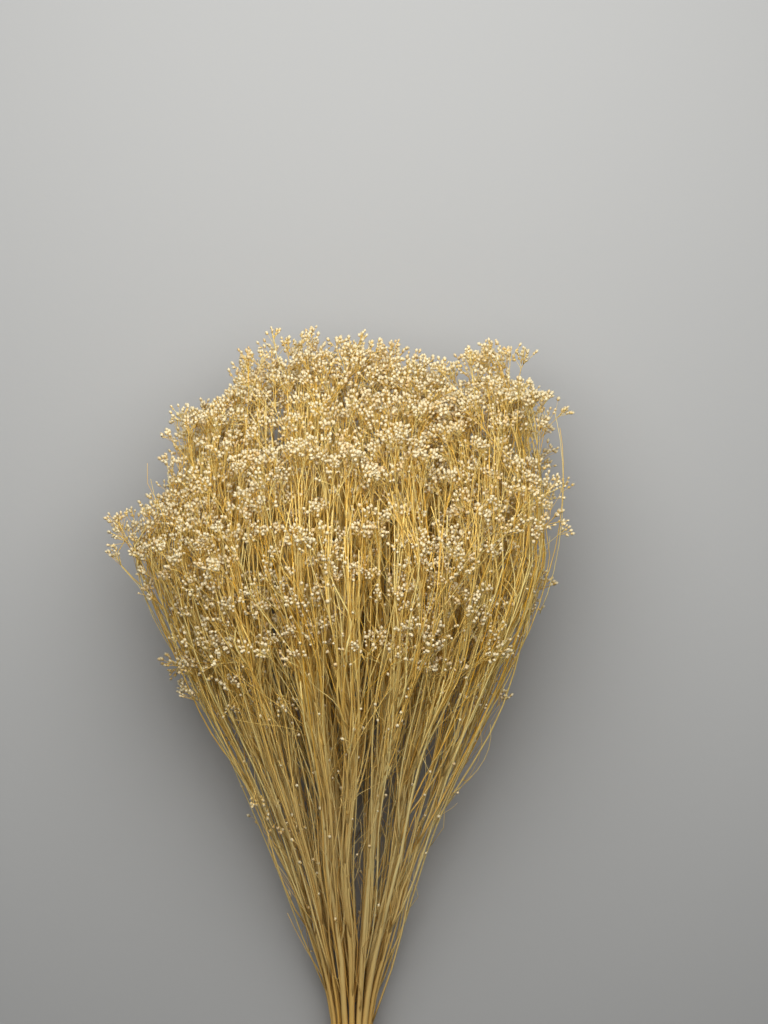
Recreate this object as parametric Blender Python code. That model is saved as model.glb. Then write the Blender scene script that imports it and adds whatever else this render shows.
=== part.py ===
"""Bundle of broom bloom, cut and dried: 37 sprays held by one elastic tie, lying on a surface.

Metres, +Z up. +Y runs from the cut ends to the heads, +X is to the right when seen from above.
Each spray is one grown thing, so its stem, its branches and its bud heads are one solid.

Every place in the bundle is named by three numbers: t, the distance from the cut ends, and (u, v), where in
the bundle's round cross-section it lies, with u across, v up and a length of 1 at the rim. place() carries
those to the bundle as it lies: narrow at the tie, fanned out at the heads and pressed flat underneath.
Each spray keeps to its own cell of the cross-section from end to end, so no two sprays cross.
"""

import math

import bmesh
import bpy
import numpy as np
from mathutils import Vector

# The bundle as a whole
LENGTH = 0.500  # from the cut ends to the top of the heads
AXIS_X = 0.005  # the stems' axis, right of the middle of the widest part
NECK_RADIUS = 0.0125  # of the gathered stems under the tie
HEAD_HALF_WIDTH = 0.117
HEAD_HALF_HEIGHT = 0.080
FAN_START = 0.106  # t where the stems begin to part
FAN_END = 0.375  # t where the fan is at its widest
FAN_EASE = 1.3  # above 1 the fan opens later
FAN_CONE = 0.6  # how far the fan is a straight cone, the rest being an S-curve
END_SPLAY = 0.0016  # by how much the cut ends stand apart below the tie
CUT_SCATTER = 0.010  # between the longest stem's cut end and the shortest one's
PRESS = 0.0008  # how far the lowest heads are pressed flat by the surface

# The dome of the heads
DOME_TOP = 0.501  # t of the tips in the middle
DOME_RIM = 0.400  # t of the tips at the rim
DOME_POWER = 3.0
CROWN_PEAKS = (  # where across the dome, how wide, how high
    (-0.15, 0.25, 0.004),
    (0.42, 0.14, -0.008),
    (0.74, 0.16, 0.021),
)
STRAY_ANGLE = math.pi  # the sprays that lean out to the left
STRAY_WIDTH = 0.26
STRAY_REACH = 0.10

# The tie
TIE_AT = 0.100
TIE_HOLD = 0.012  # the stems run straight this far on both sides of it
TIE_TURNS = 3
TIE_TURN_WIDTH = 0.0026
TIE_THICKNESS = 0.0020
TIE_GROOVE = 0.45  # depth of the groove between two turns, as a share of the thickness
TIE_SIDES = 18  # one flat for each stem of the outer ring
TIE_SHARP_ANGLE = math.radians(35)

# Stems, branches and bud heads
RINGS = 3  # of sprays round the middle one, with six more in each
STEM_RADII = (0.00175, 0.00120)  # at the tie and where it passes into its middle branch
STEM_SIDES = 5
STEM_TOP = 0.234  # t where the stem passes into its middle branch
FORKS = (0.180, 0.206)  # t of the two forks below
FORK_LENGTH = 0.008  # of the stretch of stem that a branch grows from
FORK_RISE = 0.026  # from there to where the branch stands clear
FORK_EASE = 0.014  # in which a branch goes two thirds of its way across
MIDDLE_RISE = 0.016  # from the stem's top to the middle branch's first ring
BRANCH_RADII = (0.00115, 0.00070)
BRANCH_SIDES = 3
BRANCH_ASIDE = 0.66  # how far across the spray's cell the side branches run
BRANCH_INWARD = 0.25  # and how far from its middle line, towards the bundle's axis
TWIG_RADII = (0.00080, 0.00060)
TWIG_RUN = 0.036  # length along the bundle from a twig's root to its bud head
TWIG_RISE = 0.4  # share of that where the twig stands clear
TWIG_OUTWARD = 0.50
TWIG_SWAY = 0.12
HEAD_LENGTH = 0.024
HEAD_BELLY = 0.42  # how far up the head its core is widest
HEAD_CORE = 0.84  # how far up it the core ends
HEAD_CORE_RADIUS = 0.0036
BUD_REACH = 0.0044
LEVEL_STEP = 0.042  # between one bud head and the next below it
SIDE_HEADS = (0, 0, 1, 3)  # below each branch's top one, from the middle spray to the outer ring
TOP_SCATTER = 0.006
SIDE_SCATTER = 0.003
CLEAR = 0.0003  # gap between things that touch

CELL = 1.0 / (2 * RINGS + 1)  # half the width of a spray's cell, in the unit cross-section

STRAW = (0.66, 0.43, 0.16, 1.0)
STRAW_ROUGHNESS = 0.75
RUBBER = (0.62, 0.38, 0.16, 1.0)
RUBBER_ROUGHNESS = 0.55


def fan(t):
    """0 where the stems lie together, 1 where the fan is at its widest: a straight cone mixed with an S-curve."""
    share = np.clip((t - FAN_START) / (FAN_END - FAN_START), 0.0, 1.0)
    return FAN_CONE * share**FAN_EASE + (1.0 - FAN_CONE) * share * share * (3.0 - 2.0 * share)


def place(u, v, t):
    """The point (u, v, t) of the bundle, in metres: a fan that is flat underneath, where it lies."""
    u, v, t = np.broadcast_arrays(np.asarray(u, float), np.asarray(v, float), np.asarray(t, float))
    spread = fan(t)
    splay = END_SPLAY * np.clip((TIE_AT - t) / TIE_AT, 0.0, 1.0) ** 2
    half_width = NECK_RADIUS + (HEAD_HALF_WIDTH - NECK_RADIUS) * spread + splay
    half_height = NECK_RADIUS + (HEAD_HALF_HEIGHT - NECK_RADIUS) * spread + splay
    around = np.angle(np.exp(1j * (np.arctan2(v, u) - STRAY_ANGLE)))
    across = u * (1.0 + STRAY_REACH * spread * np.exp(-((around / STRAY_WIDTH) ** 2)))
    rise = 1.0 - np.sqrt(1.0 - np.minimum(u * u, 1.0))
    lowest = (CLEAR + TIE_THICKNESS) * (1.0 - spread) - splay - PRESS * spread
    height = lowest + half_height * (1.0 + v + spread * rise * np.minimum(v, 0.0))
    return np.stack([AXIS_X + across * half_width, t - LENGTH / 2, height], axis=-1)


def dome(u, v):
    """t of the top of the heads over the point (u, v) of the cross-section."""
    radius = min(math.hypot(u, v), 1.0)
    top = DOME_RIM + (DOME_TOP - DOME_RIM) * math.sqrt(1.0 - radius**DOME_POWER)
    for middle, width, rise in CROWN_PEAKS:
        top += rise * math.exp(-(((u - middle) / width) ** 2))
    return top


def polar(radius, angle):
    return radius * math.cos(angle), radius * math.sin(angle)


def cells():
    """(ring, angle) of each spray: one in the middle, and rings of 6, 12 and 18 round it."""
    yield 0, 0.0
    for ring in range(1, RINGS + 1):
        for step in range(6 * ring):
            yield ring, -math.pi / 2 + 2 * math.pi * step / (6 * ring)


def outward_angle(u, v, t):
    """The angle, seen along the bundle, of the way out from its axis."""
    inner, outer = place(np.array([u, 1.05 * u]), np.array([v, 1.05 * v]), t)
    return math.atan2(outer[2] - inner[2], outer[0] - inner[0])


def square_to(along):
    """Two directions square to the way along and to each other: one level, one up."""
    across = along.cross(Vector((0.0, 0.0, 1.0))).normalized()
    return across, across.cross(along)


def add_ring(work, centre, along, radius, sides, turn):
    """Corners of a regular outline round a centre, square to the way along, in right-handed order."""
    across, up = square_to(Vector(along).normalized())
    corners = []
    for side in range(sides):
        angle = turn - 2 * math.pi * side / sides
        offset = math.cos(angle) * across + math.sin(angle) * up
        corners.append(work.verts.new(Vector(centre) + float(radius) * offset))
    return corners


def skin(work, lower, upper):
    """Triangles between two rings of corners, each four-sided gap split along its outer diagonal."""
    faces = []
    for i in range(len(lower)):
        j = (i + 1) % len(lower)
        a, b, c, d = lower[i], lower[j], upper[j], upper[i]
        dented = (b.co - a.co).cross(c.co - a.co).dot(d.co - a.co) > 0.0
        for corners in ((a, b, d), (b, c, d)) if dented else ((a, b, c), (a, c, d)):
            faces.append(work.faces.new(corners))
    return faces


def grow_tube(work, lower, path, radii, sides, turns):
    """Rings along a path, each joined to the one before. Back come the facets and the last ring."""
    along = np.gradient(path, axis=0)
    facets = []
    for point, way, radius, turn in zip(path, along, radii, turns):
        upper = add_ring(work, point, way, radius, sides, turn)
        if lower is None:
            work.faces.new(upper[::-1])
        else:
            facets += skin(work, lower, upper)
        lower = upper
    return facets, lower


def take_facet(work, facets, near, way):
    """Takes out the facet that looks a given way and lies near a point, and gives its corners."""

    def fitness(face):
        face.normal_update()
        return face.normal.dot(way) - (face.calc_center_median() - near).length / (2 * FORK_LENGTH)

    face = max(facets, key=fitness)
    facets.remove(face)
    corners = [loop.vert for loop in face.loops]
    work.faces.remove(face)
    return corners


def matching_turn(corners, way):
    """The turn that brings a branch's first ring nearest to the corners it grows from."""
    across, up = square_to(Vector(way).normalized())
    middle = sum((corner.co for corner in corners), Vector()) / len(corners)
    total = 0j
    for i, corner in enumerate(corners):
        offset = corner.co - middle
        total += complex(offset.dot(across), offset.dot(up)) * np.exp(2j * math.pi * i / len(corners))
    return float(np.angle(total))


def grow_branch(work, facets, root, end, stops, radii):
    """A branch raised from a facet of what carries it, up to the foot of its bud head.

    root and end are (u, v, t), and stops are the values of t where it has a ring. It leaves at a slant and
    soon runs up beside its neighbours: what is left of its way across falls off exponentially.
    Back come its facets, its last ring, the way it points there and the turn of that ring.
    """
    t = np.array([*stops, end[2]])
    ease = 1.0 - np.exp(-(t - root[2]) / FORK_EASE)
    path = place(root[0] + (end[0] - root[0]) * ease, root[1] + (end[1] - root[1]) * ease, t)
    start, ahead = place(root[0], root[1], np.array([root[2], root[2] + FORK_LENGTH]))
    carrier_way = Vector(ahead - start).normalized()
    aside = Vector(path[0] - start)
    aside -= aside.project(carrier_way)
    is_end_cap = len(facets) < STEM_SIDES
    lower = take_facet(work, facets, Vector(start), carrier_way if is_end_cap else aside.normalized())
    step = 2 * math.pi / BRANCH_SIDES
    first = matching_turn(lower, path[1] - path[0])
    settled = outward_angle(*end) + step / 2
    settled -= step * round((settled - first) / step)
    turns = first + (settled - first) * np.minimum(1.0, np.arange(len(t)) / 2)
    own_facets, last = grow_tube(work, lower, path, np.linspace(*radii, len(t)), BRANCH_SIDES, turns)
    return own_facets, last, Vector(path[-1] - path[-2]).normalized(), turns[-1]


def raise_bud(work, facet, axis, reach, rng):
    """A facet of a bud head's core drawn out into one bud, a pointed seed that leans along the axis."""
    facet.normal_update()
    out = facet.normal * reach * rng.uniform(0.85, 1.15)
    peak = work.verts.new(facet.calc_center_median() + out + axis * reach * rng.uniform(0.45, 0.75))
    corners = [loop.vert for loop in facet.loops]
    work.faces.remove(facet)
    for i in range(3):
        work.faces.new((corners[i], corners[(i + 1) % 3], peak))


def grow_head(work, lower, axis, turn, size, rng):
    """A bud head on the last ring of a branch: a slim core, with a bud drawn out of each of its facets."""
    foot = sum((corner.co for corner in lower), Vector()) / len(lower)
    length = size * HEAD_LENGTH
    belly_at = foot + HEAD_BELLY * length * axis
    belly = add_ring(work, belly_at, axis, size * HEAD_CORE_RADIUS, BRANCH_SIDES, turn)
    tip = work.verts.new(foot + HEAD_CORE * length * axis)
    core = skin(work, lower, belly)
    for i in range(BRANCH_SIDES):
        core.append(work.faces.new((belly[i], belly[(i + 1) % BRANCH_SIDES], tip)))
    for facet in core:
        raise_bud(work, facet, axis, size * BUD_REACH, rng)


def grow_stem(work, middle, turn, cut):
    """The main stem with its two cut faces. Back come the facets of its side and those of its top."""
    forks = [t for fork in FORKS for t in (fork, fork + FORK_LENGTH)]
    levels = np.array([cut, TIE_AT - TIE_HOLD, TIE_AT + TIE_HOLD, *forks, STEM_TOP])
    radii = np.interp(levels, (TIE_AT, STEM_TOP), STEM_RADII)
    facets, end = grow_tube(work, None, place(*middle, levels), radii, STEM_SIDES, [turn] * len(levels))
    cap = [work.faces.new((end[0], end[i], end[i + 1])) for i in range(1, STEM_SIDES - 1)]
    return facets, cap


def spray_mesh(name, index, ring, angle):
    """One spray: its stem, three branches with a bud head each, and more heads on twigs down their outside.

    Heads of neighbouring branches stand half a step apart along the bundle, so that each has room.
    """
    rng = np.random.default_rng(100 + index)
    radius = 2 * CELL * ring
    half_angle = math.pi / (6 * ring) if ring else math.pi
    middle = polar(radius, angle)
    work = bmesh.new()
    facets, cap = grow_stem(work, middle, angle, rng.uniform(0.0, CUT_SCATTER))
    for number, side in enumerate((-1, 1, 0)):
        fork = FORKS[number] + FORK_LENGTH / 2 if side else STEM_TOP
        theta = angle + side * BRANCH_ASIDE * half_angle * rng.uniform(0.95, 1.05)
        u, v = polar(radius - BRANCH_INWARD * CELL * rng.uniform(0.7, 1.3), theta)
        if ring == 0:
            u, v = polar(CELL / 2, 2 * math.pi * number / 3)
        half_step_down = (index + side) % 2 * LEVEL_STEP / 2
        top = dome(u, v) - HEAD_LENGTH - half_step_down - rng.uniform(0.0, TOP_SCATTER)
        scatter = rng.uniform(-SIDE_SCATTER, SIDE_SCATTER, SIDE_HEADS[ring])
        feet = top - LEVEL_STEP * np.arange(1, SIDE_HEADS[ring] + 1) + scatter
        stops = [fork + (FORK_RISE if side else MIDDLE_RISE)]
        for foot in feet[::-1]:
            stops += [foot - TWIG_RUN - FORK_LENGTH / 2, foot - TWIG_RUN + FORK_LENGTH / 2]
        if not len(feet):
            stops.append((fork + top) / 2)
        carrier = facets if side else cap
        branch, *end = grow_branch(work, carrier, (*middle, fork), (u, v, top), stops, BRANCH_RADII)
        grow_head(work, *end, float(fan(top)), rng)
        for foot in feet:
            sway = theta + TWIG_SWAY * half_angle * rng.uniform(-1, 1)
            out = polar(radius + TWIG_OUTWARD * CELL * rng.uniform(0.9, 1.1), sway)
            root = (u, v, foot - TWIG_RUN)
            stops = [root[2] + TWIG_RISE * TWIG_RUN]
            _, *end = grow_branch(work, branch, root, (*out, foot), stops, TWIG_RADII)
            grow_head(work, *end, float(fan(foot)), rng)
    mesh = bpy.data.meshes.new(name)
    work.to_mesh(mesh)
    work.free()
    return mesh


def make_spray(index, ring, angle, straw, surface):
    """One spray as an object. Where its lowest heads reach the surface, they are pressed flat on it."""
    name = f"spray_{index:02d}"
    mesh = spray_mesh(name, index, ring, angle)
    mesh.materials.append(straw)
    spray = bpy.data.objects.new(name, mesh)
    bpy.context.scene.collection.objects.link(spray)
    press = spray.modifiers.new("press_on_surface", "BOOLEAN")
    press.operation = "DIFFERENCE"
    press.object = surface
    press.solver = "EXACT"
    press.use_self = True


def make_surface():
    """A slab under the surface that the bundle lies on. It cuts the flat spots and isn't a part."""
    depth = 0.05
    work = bmesh.new()
    bmesh.ops.create_cube(work, size=1.0)
    for vert in work.verts:
        vert.co.x *= 2 * LENGTH
        vert.co.y *= 2 * LENGTH
        vert.co.z = (vert.co.z - 0.5) * depth
    mesh = bpy.data.meshes.new("surface_cutter")
    work.to_mesh(mesh)
    work.free()
    surface = bpy.data.objects.new("surface_cutter", mesh)
    surface.hide_render = True
    surface.display_type = "WIRE"
    bpy.context.scene.collection.objects.link(surface)
    return surface


def tie_profile():
    """The band's outline, (along the bundle, radius): flat inside, and one flat-topped rib for each turn."""
    inner = NECK_RADIUS + CLEAR
    outer = inner + TIE_THICKNESS
    groove = outer - TIE_GROOVE * TIE_THICKNESS
    half = TIE_TURNS * TIE_TURN_WIDTH / 2
    lip = 0.2 * TIE_TURN_WIDTH
    outline = [(-half, inner), (-half, groove)]
    for turn in range(TIE_TURNS):
        start = turn * TIE_TURN_WIDTH - half
        end = start + TIE_TURN_WIDTH
        outline += [(start + lip, outer), (end - lip, outer), (end, groove)]
    return outline + [(half, inner)]


def make_tie(rubber):
    """An elastic band wound round the stems: its outline turned round them, with one flat at the bottom."""
    corner = 1.0 / math.cos(math.pi / TIE_SIDES)
    height = NECK_RADIUS + CLEAR + TIE_THICKNESS
    outline = tie_profile()
    vertices, faces = [], []
    for side in range(TIE_SIDES):
        angle = -math.pi / 2 + math.pi / TIE_SIDES + 2 * math.pi * side / TIE_SIDES
        for along, radius in outline:
            x, z = polar(radius * corner, angle)
            vertices.append((AXIS_X + x, TIE_AT - LENGTH / 2 + along, height + z))
    count = len(outline)
    for side in range(TIE_SIDES):
        here, there = side * count, (side + 1) % TIE_SIDES * count
        for i in range(count):
            j = (i + 1) % count
            faces.append((here + i, here + j, there + j, there + i))
    mesh = bpy.data.meshes.new("tie")
    mesh.from_pydata(vertices, [], faces)
    mesh.shade_smooth()
    mesh.set_sharp_from_angle(angle=TIE_SHARP_ANGLE)
    mesh.materials.append(rubber)
    bpy.context.scene.collection.objects.link(bpy.data.objects.new("tie", mesh))


def material(name, colour, roughness):
    made = bpy.data.materials.new(name)
    made.use_nodes = True
    shader = made.node_tree.nodes["Principled BSDF"]
    shader.inputs["Base Color"].default_value = colour
    shader.inputs["Roughness"].default_value = roughness
    shader.inputs["Metallic"].default_value = 0.0
    return made


def main():
    for old in list(bpy.data.objects):
        bpy.data.objects.remove(old)
    straw = material("dried_straw", STRAW, STRAW_ROUGHNESS)
    surface = make_surface()
    for index, (ring, angle) in enumerate(cells()):
        make_spray(index, ring, angle, straw, surface)
    make_tie(material("elastic_rubber", RUBBER, RUBBER_ROUGHNESS))


main()
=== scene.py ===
"""The looks of a bundle of dried broom bloom: grooved straw stems, fine twigs, cream buds and a rubber tie.

Metres, +Z up. The bundle lies on the floor with its heads towards +Y, and the camera looks down on it.
Every place in it is named by three numbers: t, the distance from the cut ends, and (u, v), where in the
bundle's round cross-section it lies, with a length of 1 at the rim. place() carries those to the bundle.
"""

import math

import bpy
import numpy as np
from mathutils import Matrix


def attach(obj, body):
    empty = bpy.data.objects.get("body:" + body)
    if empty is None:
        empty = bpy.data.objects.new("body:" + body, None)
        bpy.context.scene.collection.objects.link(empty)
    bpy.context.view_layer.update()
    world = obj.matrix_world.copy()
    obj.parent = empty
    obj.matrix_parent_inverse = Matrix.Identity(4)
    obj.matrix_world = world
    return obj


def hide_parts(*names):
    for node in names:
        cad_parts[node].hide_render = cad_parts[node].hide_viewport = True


bl_info = {
    "name": "Bundle of Broom Bloom",
    "version": (1, 0, 0),
    "blender": (4, 5, 0),
    "location": "3D View > Sidebar > Broom Bloom",
    "description": "Grows the stems, twigs and buds of a dried bundle of broom bloom and sets its stage",
    "category": "Add Mesh",
}

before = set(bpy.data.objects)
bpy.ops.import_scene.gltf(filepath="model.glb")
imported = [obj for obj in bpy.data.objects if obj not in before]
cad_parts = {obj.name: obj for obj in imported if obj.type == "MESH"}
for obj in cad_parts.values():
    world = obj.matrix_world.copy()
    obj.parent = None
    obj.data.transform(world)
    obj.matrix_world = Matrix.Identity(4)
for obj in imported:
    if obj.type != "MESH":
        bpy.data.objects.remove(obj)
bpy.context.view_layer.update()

# The bundle's form, as in the part
LENGTH = 0.500
AXIS_X = 0.005
NECK_RADIUS = 0.0125
HEAD_HALF_WIDTH = 0.117
HEAD_HALF_HEIGHT = 0.080
FAN_START = 0.106
FAN_END = 0.375
FAN_EASE = 1.3
FAN_CONE = 0.6
END_SPLAY = 0.0016
CUT_SCATTER = 0.010
PRESS = 0.0008
DOME_TOP = 0.501
DOME_RIM = 0.400
DOME_POWER = 3.0
DOME_SHARPER = 1.05  # how much sooner than the bundle the dome comes to its rim
CROWN_PEAKS = ((-0.15, 0.25, 0.004), (0.42, 0.14, -0.008), (0.74, 0.16, 0.021))
STRAY_ANGLE = math.pi
STRAY_WIDTH = 0.26
STRAY_REACH = 0.10
TIE_AT = 0.100
TIE_TURNS = 3
TIE_TURN_WIDTH = 0.0026
TIE_THICKNESS = 0.0020
CLEAR = 0.0003
RINGS = 3
CELL = 1.0 / (2 * RINGS + 1)
BRANCH_ASIDE = 0.66
LEVEL_STEP = 0.042
UNDERSIDE = -0.7  # sprays whose angle has a sine below this lie under the others, and bear half as much

# What the finer growth adds to it: shoulders of the dome, and gaps that show between the stems
SHOULDERS = (  # flat-topped: where across the bundle, half of how wide, and the rise
    (-0.81, 0.07, 0.012),
    (-0.57, 0.06, -0.009),
    (-0.45, 0.06, 0.009),
    (0.05, 0.20, -0.007),
    (0.52, 0.06, -0.010),
    (0.67, 0.04, 0.012),
    (0.75, 0.045, -0.007),
    (0.84, 0.04, 0.006),
    (0.98, 0.09, -0.024),
)
SHOULDER_POWER = 4
FRONT = (0.25, 0.75)  # the v from which the dome is lowered towards the camera, and where it is fully so
FRONT_DROP = 0.014
FRONT_TILT = 0.016
STRAY_END = (0.385, 0.412)  # between these, the sprays that lean out to the left come back in
STRAY_RETURN = 0.12
RETURN_WIDTH = 0.6
NECK_BULGE = (0.158, 0.028, 0.0022)  # where the stems stand apart, over what length, and how far
GAPS = (  # where across the bundle, from t, to t, and half of how wide
    (0.05, 0.146, 0.262, 0.0036),
    (0.60, 0.190, 0.320, 0.0034),
    (0.33, 0.170, 0.275, 0.0020),
    (-0.32, 0.190, 0.285, 0.0020),
)
GAP_REACH = 0.014
GAP_MIRROR = 0.25
FORK_BELOW_GAPS = 0.21

# Main stems
STEM_END = 0.310
STEM_STEPS = 26
STEM_RADII = ((0.0, 0.130, 0.200, STEM_END), (0.00175, 0.00155, 0.00078, 0.00040))  # t, and radius
STEM_THICKNESS = (0.42, 1.10)
STEM_FREE = (0.13, 0.19)  # between these, a stem comes free of its neighbours and begins to bow
STEM_BOW = 0.0022
STEM_KINK = 0.0003

# Branches: where they fork off, how far across their place in the bundle varies, and how fast they part
BRANCHES_A_SIDE = 5
BRANCH_STEPS = 14
FORK_FROM = (0.160, 0.320)
LOW_FORK_FROM = (0.104, 0.175)
LOW_FORK_SHARE = 0.24
BRANCH_SCATTER = (0.65 * CELL, 0.50 * CELL)
BRANCH_SHORT = 0.032
BRANCH_EASE = (0.025, 0.095)
BRANCH_BOW = 0.0040
MIDDLE_REACH = (0.1, 0.9)  # how far out those of the middle spray are, as shares of half a cell
RISE_POWER = 1.15
RIM = 0.93

# Side branches, each below a cluster of buds: groups of them at each level below the top, ring by ring
GROUPS = ((3,), (3,), (3, 2), (4, 3, 3, 1))
CARRIED_ASTRAY = 0.3
CLUSTERS_ASIDE = 0.55
TOP_SPREAD = 0.9  # how far in or out of its ring a top cluster may be, as a share of half a cell
TOP_SPREAD_AT_RIM = 0.4  # and how far out at most in the outer ring
LOWER_SPREAD = 0.3
LEVEL_INWARDS = 0.16
STRAY_OUTWARDS = 0.35
SPRAY_DROP = (0.004, 0.014)  # of an inner spray and of an outer one, at most
LEVEL_SCATTER = (0.85, 1.15)
CLUSTER_SCATTER = (0.0040, 0.006)  # at the top level, and what the others have more
SWAY = 0.08
RIM_OF_HEAD = 0.90
HIGHEST_V = 0.78
HEAD_DEPTH = 0.014
HIGHEST_STRAY = 0.003
RUN = (0.040, 0.100)
RUN_SCATTER = 0.004
SIDE_LEAN = 0.22
SIDE_LEAN_FADE = 0.7  # how much of the lean is gone at the rim
SIDE_TWIST = 0.30
SIDE_HANDLES = 0.38  # of the distance between its ends
SIDES_LEAVE = (0.06, 0.94)
LOWEST_BUDS = 0.328
LOWEST_BUDS_SLOPE = 0.030
LOW_TUFTS = (  # the spray that bears it, and its (u, v, t)
    (24, 0.79, 0.20, 0.295),
    (30, -0.66, 0.60, 0.307),
    (31, -0.78, 0.35, 0.249),
    (31, -0.68, 0.45, 0.240),
    (32, -0.91, 0.25, 0.316),
    (32, -0.90, 0.20, 0.303),
    (32, -0.88, 0.00, 0.387),
    (32, -0.87, 0.20, 0.390),
    (32, -0.86, 0.08, 0.384),
    (32, -0.84, 0.25, 0.393),
    (33, -0.87, -0.15, 0.382),
    (33, -0.85, 0.05, 0.393),
    (33, -0.81, -0.05, 0.380),
)
LOOSE_STRANDS = (  # the spray that one hangs from, its v, and four (across, t) that its curve is drawn from
    (32, 0.10, ((-0.0125, 0.130), (-0.0190, 0.143), (-0.0270, 0.153), (-0.0363, 0.1746))),
    (24, 0.30, ((0.0500, 0.240), (0.0640, 0.250), (0.0800, 0.264), (0.0764, 0.284))),
    (24, 0.20, ((0.0470, 0.230), (0.0520, 0.234), (0.0560, 0.235), (0.0590, 0.239))),
    (24, 0.15, ((0.1030, 0.345), (0.1150, 0.372), (0.1200, 0.418), (0.1110, 0.455))),
    (25, 0.30, ((0.1040, 0.360), (0.1150, 0.385), (0.1170, 0.425), (0.1130, 0.446))),
)

# Finer forks: how many, how far back from the end, how many degrees out, and how far past the end
ARMS = (3, (0.010, 0.031), (7, 25), (0.000, 0.006))
TWIGS = (6, (0.001, 0.0070), (12, 46), (0.0008, 0.0034))
SPURS = (1, (0.0012, 0.0028), (30, 60), (0.0, 0.0006))
SPUR_SHARE = 0.8
FORK_BACK = 0.6  # of the length of what bears it, at most
FORK_TURN = 0.35
FORK_CURL = 0.75
FORK_TWIST = 0.08
FORK_HANDLES = (0.35, 0.40)

# Strands that bear no cluster
BARE_STRANDS = 32
BARE_LENGTH = (0.030, 0.090)
BARE_FROM = (0.05, 0.60)  # where on a branch, as a share of it
BARE_TWIST = 0.25
BARE_HANDLES = 0.3
BARE_BOW = 0.0026
BARE_HIGHEST = 1.9  # as a share of half of the head's height
STUBS = 10
STUB_LENGTH = (0.002, 0.007)
STUB_FROM = (0.0, 0.35)
STUB_TWIST = 0.6
LONE_BUDS = 36
LONE_LENGTH = (0.002, 0.009)
LONE_FROM = (0.14, 0.95)
LONE_TWIST = 0.45

# Each kind of strand: its radius at the foot and at the tip, and its sides
STEM_SIDES = 8
BRANCH_TAPER = (0.00052, 0.00024, 4)
SIDE_TAPER = (0.00034, 0.00021, 3)
ARM_TAPER = (0.00022, 0.00017, 3)
TWIG_TAPER = (0.00017, 0.00013, 3)
BARE_TAPER = (0.00024, 0.00012, 3)
STUB_TAPER = (0.00035, 0.00015, 3)
LONE_TAPER = (0.00018, 0.00013, 3)
LOOSE_TAPER = (0.00036, 0.00020, 3)
SIDE_STEPS, ARM_STEPS, TWIG_STEPS, BARE_STEPS, LOOSE_STEPS = 8, 5, 2, 7, 9
THICKNESSES = (0.8, 1.25)
WAVES = 4  # in a bow, and how strong it is across, along and up
WAVE_WAYS = (1.0, 0.2, 1.0)
TONE_SPREAD = 0.32
THICK_PALENESS = 350.0  # of a strand's tone, for each metre of its radius
GREY_FADES = (-0.02, 0.06)  # between these places along Y the grey of the lower stems fades away
PAINTED_SHADE_FADES = (-0.14, -0.05)  # and between these, painted shade: browner towards the cut ends
MAP_STARTS = (1.7, 7.3)  # metres round and along that the map of the palest strand starts further on

# Buds: how far along and how wide, as shares of a bud's length and width
BUD_PROFILE = ((0.24, 0.84), (0.66, 0.95))
BUD_SIDES = 5
BUD_SIZES = (0.75, 1.2)
BUD_STOUTNESS = (0.85, 1.15)
MIDDLE_TONE = 0.5
ARM_TONES = 0.18  # how far the tone varies from arm to arm, from one lone bud to the next, and on an arm
LONE_TONES = 0.2
BUD_TONES = 0.12

GOLDEN = math.pi * (3.0 - math.sqrt(5.0))
SKEW = (0.31, 0.17, 0.94)  # a direction that no strand runs in
NUDGE = 0.002  # a step along the bundle, from which the way that it runs is worked out

# Winding of the tie: where round the stems it starts, and how it is laid over itself at its end
TIE_START = 1.2
TIE_STEPS = 240
TIE_SIDES = 10
TIE_LIFTS = ((0.985, 0.020, 0.0014), (0.34, 0.05, 0.0007))  # at what share of it, how long, how high
TIE_TUCK = 0.95
TIE_SECTION = (0.48, 0.42)
TIE_ROUNDNESS = 0.6
TIE_SEAT = 0.45  # how far above the stems its middle is, as a share of its thickness

# The picture: its size, the column that the stems' axis is on, and what its lower edge cuts off
IMAGE_WIDTH, IMAGE_HEIGHT = 768, 1024
PIXEL = 0.00055
AXIS_COLUMN = 351
HIDDEN_LENGTH = 0.119
PICTURE_PLANE = 0.070
SENSOR_MM = 36.0
FLOOR_HALF = 6.0
WORLD_STRENGTH = 0.18
WORLD_COLOUR = (0.97, 0.97, 1.0)
KEY_LIGHT = (0.9, (0.02, 0.52, 0.62), (0.02, 0.40, 0.0))  # size, place and aim
FILL_LIGHT = (1.6, (-0.35, 0.50, 1.4), (0.0, 0.1, 0.05))


def linear(code):
    """An sRGB hex colour as linear red, green and blue."""
    srgb = np.array([int(code[i : i + 2], 16) for i in (1, 3, 5)]) / 255
    return tuple(np.where(srgb <= 0.04045, srgb / 12.92, ((srgb + 0.055) / 1.055) ** 2.4))


def unit(vectors):
    """The vectors, each made one long."""
    return vectors / np.linalg.norm(vectors, axis=-1, keepdims=True)


def fan(t):
    """0 where the stems lie together, 1 where the fan is widest: a straight cone mixed with an S-curve."""
    share = np.clip((t - FAN_START) / (FAN_END - FAN_START), 0.0, 1.0)
    return FAN_CONE * share**FAN_EASE + (1.0 - FAN_CONE) * share * share * (3.0 - 2.0 * share)


def end_splay(t):
    """How far the cut ends stand apart beyond the tie."""
    return END_SPLAY * np.clip((TIE_AT - t) / TIE_AT, 0.0, 1.0) ** 2


def half_width(t):
    """Half of the bundle's width at t: the fan's, the cut ends' splay and a bell at the neck."""
    middle, length, rise = NECK_BULGE
    bulge = rise * np.exp(-(((t - middle) / length) ** 2))
    return NECK_RADIUS + (HEAD_HALF_WIDTH - NECK_RADIUS) * fan(t) + end_splay(t) + bulge


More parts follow.
